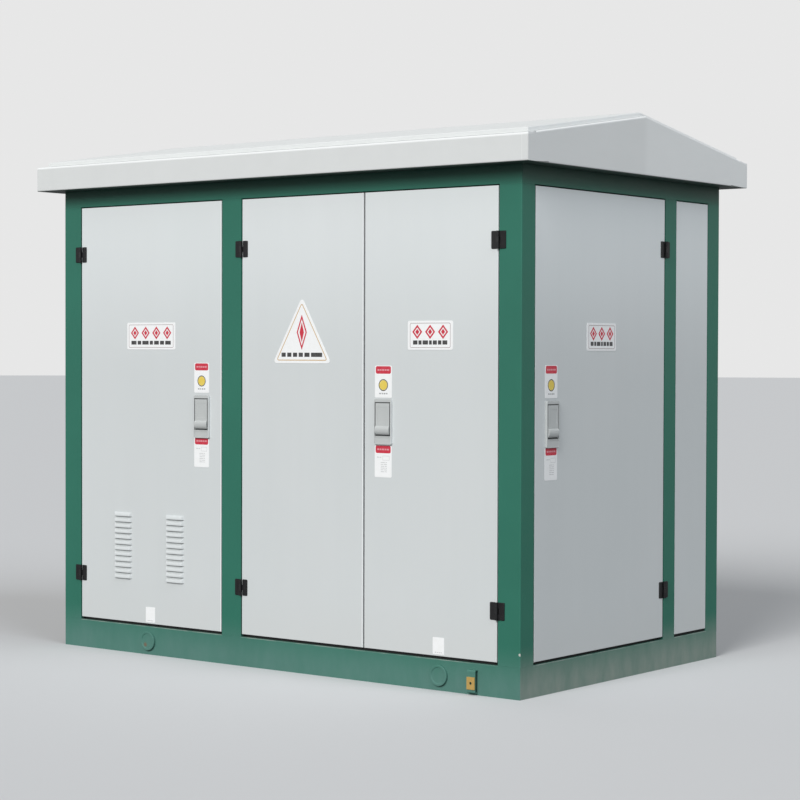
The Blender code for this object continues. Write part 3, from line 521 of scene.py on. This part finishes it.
def hinge_coat():
    """Black coat on cast metal."""
    finish = Finish("hinge_coat", Specular_IOR_Level=0.25)
    cloud = finish.noise(60.0, 3.0, 0.6)
    tints = ((0.007, 0.007, 0.008), (0.018, 0.018, 0.019))
    return clouded(finish, cloud, tints, (0.38, 0.18), finish.noise(900.0), 0.0004)


def brass_metal():
    finish = Finish("brass_metal", Metallic=0.30)
    cloud = finish.noise(70.0, 3.0, 0.6)
    tints = ((0.66, 0.44, 0.13), (0.50, 0.32, 0.10))
    return clouded(finish, cloud, tints, (0.30, 0.25), finish.noise(300.0), 0.0003)


def floor_metal():
    finish = Finish("floor_metal", Metallic=0.7)
    cloud = finish.noise(6.0, 4.0, 0.6)
    tints = ((0.30, 0.31, 0.31), (0.42, 0.42, 0.41))
    return clouded(finish, cloud, tints, (0.42, 0.2), finish.noise(120.0), 0.0004)


def rubber():
    """Foam rubber of the seals, whose grain is the cloud itself."""
    finish = Finish("rubber", Specular_IOR_Level=0.3)
    cloud = finish.noise(90.0, 3.0, 0.6)
    tints = ((0.010, 0.010, 0.010), (0.022, 0.021, 0.020))
    return clouded(finish, cloud, tints, (0.75, 0.15), cloud, 0.0004)


def print_ink(name, tint, worn):
    """Printed film in one colour, a little worn."""
    finish = Finish(name, Specular_IOR_Level=0.45)
    cloud = finish.noise(45.0, 4.0, 0.6)
    return finish.paint(
        Base_Color=finish.mix(cloud.rise(0.35, 0.75), tint, worn),
        Roughness=0.28 + cloud * 0.2,
        Normal=finish.bump(finish.noise(700.0), 0.00008),
    )


# Each finish with the starts of the names of its nodes.
FINISHES = (
    (frame_paint, ("base_rail", "top_rail", "corner_post", "middle_post")),
    (panel_paint, ("door", "panel")),
    (roof_paint, ("roof",)),
    (hinge_coat, ("hinge",)),
    (lock_case, ("lock_body",)),
    (lock_metal, ("lock_lever",)),
    (brass_metal, ("earthing",)),
    (floor_metal, ("floor",)),
)


def finish_nodes():
    for make, starts in FINISHES:
        finish = make()
        for name, node in NODES.items():
            if name.startswith(starts):
                for slot in node.material_slots:
                    slot.material = finish


# Modelling helpers.


def deselect():
    bpy.ops.object.select_all(action="DESELECT")


def apply_placing():
    bpy.ops.object.transform_apply(location=True, rotation=True, scale=True)


def select_edges(obj, wanted):
    """Selects, in edit mode, the edges whose two ends satisfy a test."""
    bpy.ops.mesh.select_mode(type="EDGE")
    bpy.ops.mesh.select_all(action="DESELECT")
    bm = bmesh.from_edit_mesh(obj.data)
    for edge in bm.edges:
        edge.select = wanted(edge.verts[0].co, edge.verts[1].co)
    bmesh.update_edit_mesh(obj.data)


class Place:
    """Somewhere on a wall: pieces drawn about its middle are set there and ride on its body."""

    def __init__(self, tag, wall, u, z, body, inward=0.0):
        self.tag = tag
        self.body = body
        turns = QUARTER_TURNS[wall]
        half_along, half_across = (HALF_Y, HALF_X) if turns % 2 else (HALF_X, HALF_Y)
        turn = Matrix.Rotation(turns * math.pi / 2, 4, "Z")
        self.matrix = turn @ Matrix.Translation((u - half_along, inward - half_across, z))

    def settle(self, obj, name, finish):
        obj.name = name + "_" + self.tag
        obj.data.transform(self.matrix)
        obj.data.materials.clear()
        obj.data.materials.append(finish)
        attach(obj, self.body)


def round_plate(plate, thickness, corner, segments):
    """Rounds a standing plate's corners and softens its front rim."""
    front = -thickness * 0.999
    apply_placing()
    bpy.ops.object.mode_set(mode="EDIT")
    select_edges(plate, lambda a, b: abs(a.y - b.y) > thickness / 2)
    bpy.ops.mesh.bevel(offset=corner, segments=segments, affect="EDGES")
    select_edges(plate, lambda a, b: a.y < front and b.y < front)
    bpy.ops.mesh.bevel(offset=thickness * 0.3, segments=2, affect="EDGES")
    bpy.ops.object.mode_set(mode="OBJECT")
    return plate


def rounded_plate(width, height, corner, thickness):
    """A flat plate standing on the wall, with round corners and a softened front rim."""
    deselect()
    bpy.ops.mesh.primitive_cube_add(size=1.0, location=(0.0, -thickness / 2, 0.0))
    plate = bpy.context.object
    plate.scale = (width, thickness, height)
    return round_plate(plate, thickness, corner, 5)


def triangle_plate(width, corner, thickness):
    """An upright plate with three equal sides and round corners, about its own centre."""
    deselect()
    bpy.ops.mesh.primitive_cylinder_add(
        vertices=3,
        radius=width / math.sqrt(3),
        depth=thickness,
        location=(0.0, -thickness / 2, 0.0),
        rotation=(math.pi / 2, 0.0, 0.0),
    )
    return round_plate(bpy.context.object, thickness, corner, 6)


def marks(shapes, lift, sides=None, corner=0.0, line=None):
    """Thin printed shapes on a plate's face, each given by its middle, width and height.

    They are bars, or with a count of sides an upright triangle, a lozenge or a disc. A line
    width keeps only the outline of each shape.
    """
    deselect()
    obj = None
    for u, z, width, height in shapes:
        place = {"location": (u, -lift, z), "rotation": (math.pi / 2, 0.0, 0.0)}
        if obj is not None:
            bpy.ops.mesh.select_all(action="DESELECT")
        if sides is None:
            bpy.ops.mesh.primitive_plane_add(size=1.0, **place)
        else:
            bpy.ops.mesh.primitive_circle_add(vertices=sides, radius=0.5, fill_type="NGON", **place)
        if obj is None:
            obj = bpy.context.object
            apply_placing()
            bpy.ops.object.mode_set(mode="EDIT")
            bpy.ops.mesh.select_all(action="SELECT")
        bpy.ops.transform.resize(value=(width, 1.0, height), center_override=(u, -lift, z))
    bpy.ops.mesh.select_all(action="SELECT")
    if corner:
        bpy.ops.mesh.bevel(offset=corner, segments=4, affect="VERTICES")
        bpy.ops.mesh.select_all(action="SELECT")
    if line is not None:
        bpy.ops.mesh.inset(thickness=line, use_individual=True)
        bpy.ops.mesh.delete(type="FACE")
        bpy.ops.mesh.select_all(action="SELECT")
    bpy.ops.mesh.extrude_region_move(TRANSFORM_OT_translate={"value": (0.0, -FILM, 0.0)})
    bpy.ops.mesh.select_all(action="SELECT")
    bpy.ops.mesh.normals_make_consistent(inside=False)
    bpy.ops.object.mode_set(mode="OBJECT")
    return obj


def dashes(widths, gap, height, middle):
    """A row of short bars with equal gaps, centred on a point."""
    total = sum(widths) + gap * (len(widths) - 1)
    start = middle[0] - total / 2
    row = []
    for width in widths:
        row.append((start + width / 2, middle[1], width, height))
        start += width + gap
    return row


# Plates and films on the doors. Their print is plain shapes only.

# Thicknesses, and the heights at which print starts, just inside each face.
PLATE = 0.0012
STICKER = 0.0006
FILM = 0.00012
ON_PLATE = PLATE - 0.00002
ON_STICKER = STICKER - 0.00002

# Each ink's tint, fresh and worn.
INKS = {
    "white": ((0.94, 0.95, 0.95), (0.91, 0.92, 0.91)),
    "red": ((0.60, 0.032, 0.060), (0.64, 0.06, 0.09)),
    "pink": ((0.76, 0.34, 0.38), (0.74, 0.28, 0.32)),
    "dark": ((0.045, 0.045, 0.045), (0.09, 0.09, 0.09)),
    "mid": ((0.36, 0.37, 0.37), (0.44, 0.45, 0.45)),
    "grey": ((0.58, 0.59, 0.59), (0.66, 0.67, 0.67)),
    "line": ((0.34, 0.27, 0.27), (0.42, 0.35, 0.35)),
    "tan": ((0.62, 0.42, 0.20), (0.66, 0.49, 0.29)),
    "yellow": ((0.80, 0.60, 0.09), (0.83, 0.66, 0.16)),
}

# Places: tag, wall, distance along the wall, height of the middle and body. Name plates add
# their width, height and count of lozenges, and the triangle adds its width.
NAME_PLATES = (
    (("transformer", "front", 0.5925, 1.524, "transformer_door"), 0.319, 0.128, 4),
    (("switchgear", "front", 2.261, 1.5235, "switchgear_right_door"), 0.242, 0.125, 3),
    (("side", "right", 0.6155, 1.5195, "side_door"), 0.235, 0.121, 3),
)
TRIANGLE = (("switchgear", "front", 1.5375, 1.4990, "switchgear_left_door"), 0.344)
LOCKS = (
    ("transformer", "front", 0.922, 1.1565, "transformer_door"),
    ("switchgear", "front", 2.0055, 1.1500, "switchgear_right_door"),
    ("side", "right", 0.2225, 1.1555, "side_door"),
)
BOTTOM_LABELS = (
    ("transformer", "front", 0.5885, 0.1915, "transformer_door"),
    ("switchgear", "front", 2.310, 0.1915, "switchgear_right_door"),
)

# Widths of the bars of a row, as shares of the length that they fill.
NAME_BARS = (0.13, 0.09, 0.16, 0.08, 0.12, 0.10, 0.14)
TRIANGLE_BARS = (0.10, 0.10, 0.10, 0.10, 0.12, 0.26)

# The two films at a lock: how far above it the middle of each lies, and its height.
UPPER_STRIP = (0.172, 0.140)
LOWER_STRIP = (-0.1755, 0.141)
STRIP_WIDTH = 0.094
STRIP_ROWS = 6


def name_plate(place, width, height, lozenges, inks):
    """A rectangular plate with a thin border, a row of lozenge outlines and a row of bars."""
    place.settle(rounded_plate(width, height, 0.008, PLATE), "name_plate", inks["white"])
    border = marks([(0.0, 0.0, width - 0.024, height - 0.018)], ON_PLATE, corner=0.007, line=0.0022)
    place.settle(border, "name_plate_border", inks["line"])
    pitch = (width - 0.034) / lozenges
    middles = [
        ((index - (lozenges - 1) / 2) * pitch, height * 0.12) for index in range(lozenges)
    ]
    outer = [(u, z, 0.054, 0.062) for u, z in middles]
    outer = marks(outer, ON_PLATE, sides=4, line=0.0075)
    place.settle(outer, "name_plate_lozenges", inks["red"])
    inner = [(u, z, 0.022, 0.026) for u, z in middles]
    place.settle(marks(inner, ON_PLATE, sides=4), "name_plate_middles", inks["red"])
    length = width - 0.058
    widths = [length * share for share in NAME_BARS]
    bars = dashes(widths, length * 0.03, 0.018, (0.0, -height * 0.245))
    place.settle(marks(bars, ON_PLATE), "name_plate_bars", inks["dark"])


def triangle(place, width, inks):
    """A three-sided plate with a thin border, a tall lozenge and a row of bars."""
    place.settle(triangle_plate(width, 0.024, PLATE), "triangle_plate", inks["white"])
    across = 2 * width * 0.88 / math.sqrt(3)
    border = marks([(0.0, 0.0, across, across)], ON_PLATE, sides=3, corner=0.015, line=0.0042)
    place.settle(border, "triangle_border", inks["tan"])
    outer = marks([(0.0, 0.040, 0.060, 0.160)], ON_PLATE, sides=4, line=0.0070)
    place.settle(outer, "triangle_lozenge", inks["red"])
    inner = marks([(0.0, 0.040, 0.026, 0.092)], ON_PLATE, sides=4)
    place.settle(inner, "triangle_middle", inks["red"])
    bars = dashes([0.25 * share for share in TRIANGLE_BARS], 0.009, 0.019, (0.0, -0.061))
    place.settle(marks(bars, ON_PLATE), "triangle_bars", inks["dark"])


def strip_labels(tag, wall, u, z, body, inks):
    """The two films above and below the height z, each with a red band at its top."""
    upper = Place(tag + "_upper", wall, u, z + UPPER_STRIP[0], body)
    lower = Place(tag + "_lower", wall, u, z + LOWER_STRIP[0], body)
    for place, height in ((upper, UPPER_STRIP[1]), (lower, LOWER_STRIP[1])):
        film = rounded_plate(STRIP_WIDTH, height, 0.006, STICKER)
        place.settle(film, "strip_label", inks["white"])
        top = height / 2 - 0.019
        band = marks([(0.0, top, STRIP_WIDTH - 0.010, 0.033)], ON_STICKER, corner=0.008)
        place.settle(band, "strip_label_band", inks["red"])
        row = dashes([0.011, 0.008, 0.013, 0.009, 0.012], 0.003, 0.007, (0.0, top))
        place.settle(marks(row, ON_STICKER + FILM), "strip_label_band_bars", inks["pink"])
    ring = marks([(0.0, -0.015, 0.052, 0.052)], ON_STICKER, sides=32, line=0.0040)
    upper.settle(ring, "strip_label_ring", inks["dark"])
    disc = marks([(0.0, -0.015, 0.043, 0.043)], ON_STICKER, sides=32)
    upper.settle(disc, "strip_label_disc", inks["yellow"])
    row = dashes([0.010, 0.007, 0.010, 0.007], 0.004, 0.006, (0.0, -0.052))
    upper.settle(marks(row, ON_STICKER), "strip_label_bars", inks["mid"])
    box = marks([(0.016, 0.014, 0.038, 0.020)], ON_STICKER, line=0.0016)
    lower.settle(box, "strip_label_box", inks["grey"])
    rows = dashes([0.012, 0.010], 0.003, 0.0035, (-0.022, 0.017))
    patterns = ([0.024, 0.008], [0.014, 0.018], [0.020, 0.010])
    for line in range(STRIP_ROWS):
        widths = patterns[line % len(patterns)]
        rows += dashes(widths, 0.003, 0.003, (0.004, -0.006 - 0.008 * line))
    lower.settle(marks(rows, ON_STICKER), "strip_label_bars", inks["grey"])


def bottom_label(place, inks):
    """A small plain film with one row of bars."""
    place.settle(rounded_plate(0.061, 0.073, 0.003, STICKER), "bottom_label", inks["white"])
    row = dashes([0.008, 0.006, 0.008, 0.006], 0.003, 0.0035, (0.0, -0.028))
    place.settle(marks(row, ON_STICKER), "bottom_label_bars", inks["grey"])


def add_labels():
    inks = {name: print_ink("ink_" + name, *tints) for name, tints in INKS.items()}
    for where, width, height, lozenges in NAME_PLATES:
        name_plate(Place(*where), width, height, lozenges, inks)
    where, width = TRIANGLE
    triangle(Place(*where), width, inks)
    for where in LOCKS:
        strip_labels(*where, inks)
    for where in BOTTOM_LABELS:
        bottom_label(Place(*where), inks)


# Seals round the openings.

SEAL_FRONT = 0.0130
SEAL_BACK = 0.0168
SEAL_WIDTH = 0.020
SEAL_OVERLAP = 0.005
SEAL_GAP = 0.0004
SLOT_FRONT = 0.006


def seal_ring(length, height, width, depth):
    """A foam strip as a picture frame about its own middle, with its back on the wall."""
    ring = rounded_plate(length, height, 0.004, depth)
    bpy.ops.object.mode_set(mode="EDIT")
    bpy.ops.mesh.select_mode(type="FACE")
    bm = bmesh.from_edit_mesh(ring.data)
    bm.normal_update()
    for face in bm.faces:
        face.select = abs(face.normal.y) > 0.99
    bmesh.update_edit_mesh(ring.data)
    bpy.ops.mesh.inset(thickness=width, use_individual=True)
    bpy.ops.mesh.bridge_edge_loops()
    bpy.ops.mesh.select_all(action="SELECT")
    bpy.ops.mesh.normals_make_consistent(inside=False)
    bpy.ops.object.mode_set(mode="OBJECT")
    return ring


def add_seals():
    """Foam rings on the stops behind the doors, and filler strips under the fixed panels."""
    finish = rubber()
    low = RAIL_TOP + SEAL_GAP
    for wall, spans in BAYS.items():
        for index, (start, end) in enumerate(spans):
            is_door = (wall, index) in DOOR_BAYS
            high = DOOR_TOP + SEAL_OVERLAP if is_door else DOOR_BOTTOM - SEAL_GAP
            length = end - start - 2 * SEAL_GAP
            height = high - low
            tag = wall + str(index + 1)
            place = Place(tag, wall, (start + end) / 2, (low + high) / 2, "housing", SEAL_BACK)
            if is_door:
                ring = seal_ring(length, height, SEAL_WIDTH, SEAL_BACK - SEAL_FRONT)
                place.settle(ring, "door_seal", finish)
            else:
                strip = rounded_plate(length, height, 0.002, SEAL_BACK - SLOT_FRONT)
                place.settle(strip, "panel_filler", finish)


# The stage.

FLOOR_RADIUS = 120.0
FLOOR_TINT = (0.66, 0.665, 0.67)
FLOOR_TINT_IN_BOUNCES = (0.22, 0.22, 0.225)

# Each lamp's name, direction toward it, strength, spread in degrees and colour.
LAMPS = (
    ("key_lamp", (0.10, -0.84, 0.50), 0.815, 28.0, (1.0, 1.0, 1.0)),
    ("side_lamp", (0.78, -0.10, 0.60), 0.37, 40.0, (0.87, 0.93, 1.0)),
)

# Strengths of the surround: as light on the object, and as seen or mirrored.
SURROUND_LIGHT = 0.25
SURROUND_SEEN = 0.80


def add_floor():
    """A pale floor that throws little light back up."""
    deselect()
    bpy.ops.mesh.primitive_circle_add(vertices=96, radius=FLOOR_RADIUS, fill_type="NGON")
    floor = bpy.context.object
    floor.name = "studio_floor"
    finish = Finish("studio_floor", Roughness=0.9, Specular_IOR_Level=0.0)
    seen = finish.node("LightPath", output="Is Camera Ray")
    tint = finish.mix(seen, FLOOR_TINT_IN_BOUNCES, FLOOR_TINT)
    floor.data.materials.append(finish.paint(Base_Color=tint))


def add_lamp(name, direction, strength, spread, tint):
    """A soft, distant lamp that shines from a direction."""
    data = bpy.data.lights.new(name, "SUN")
    data.color = tint
    data.energy = strength * math.pi
    data.angle = math.radians(spread)
    light = bpy.data.objects.new(name, data)
    bpy.context.scene.collection.objects.link(light)
    light.rotation_euler = (-Vector(direction)).to_track_quat("-Z", "Y").to_euler()


def add_surround():
    """A plain white surround, brighter where it is seen, mirrored or seen through."""
    world = bpy.data.worlds.new("surround")
    bpy.context.scene.world = world
    surround = Shading(world, "Background")
    surround.shader.inputs["Color"].default_value = colour((1.0, 1.0, 1.0))
    rays = ("Is Camera Ray", "Is Glossy Ray", "Is Transmission Ray")
    seen = any_of([surround.node("LightPath", output=ray) for ray in rays])
    limits = {"Value": seen, "To Min": SURROUND_LIGHT, "To Max": SURROUND_SEEN}
    surround.feed({"Strength": surround.node("MapRange", {}, limits)})


def add_stage():
    add_floor()
    for lamp in LAMPS:
        add_lamp(*lamp)
    add_surround()
    bpy.context.scene.view_settings.view_transform = "Standard"


def main():
    add_camera()
    finish_nodes()
    add_labels()
    add_seals()
    add_stage()


main()
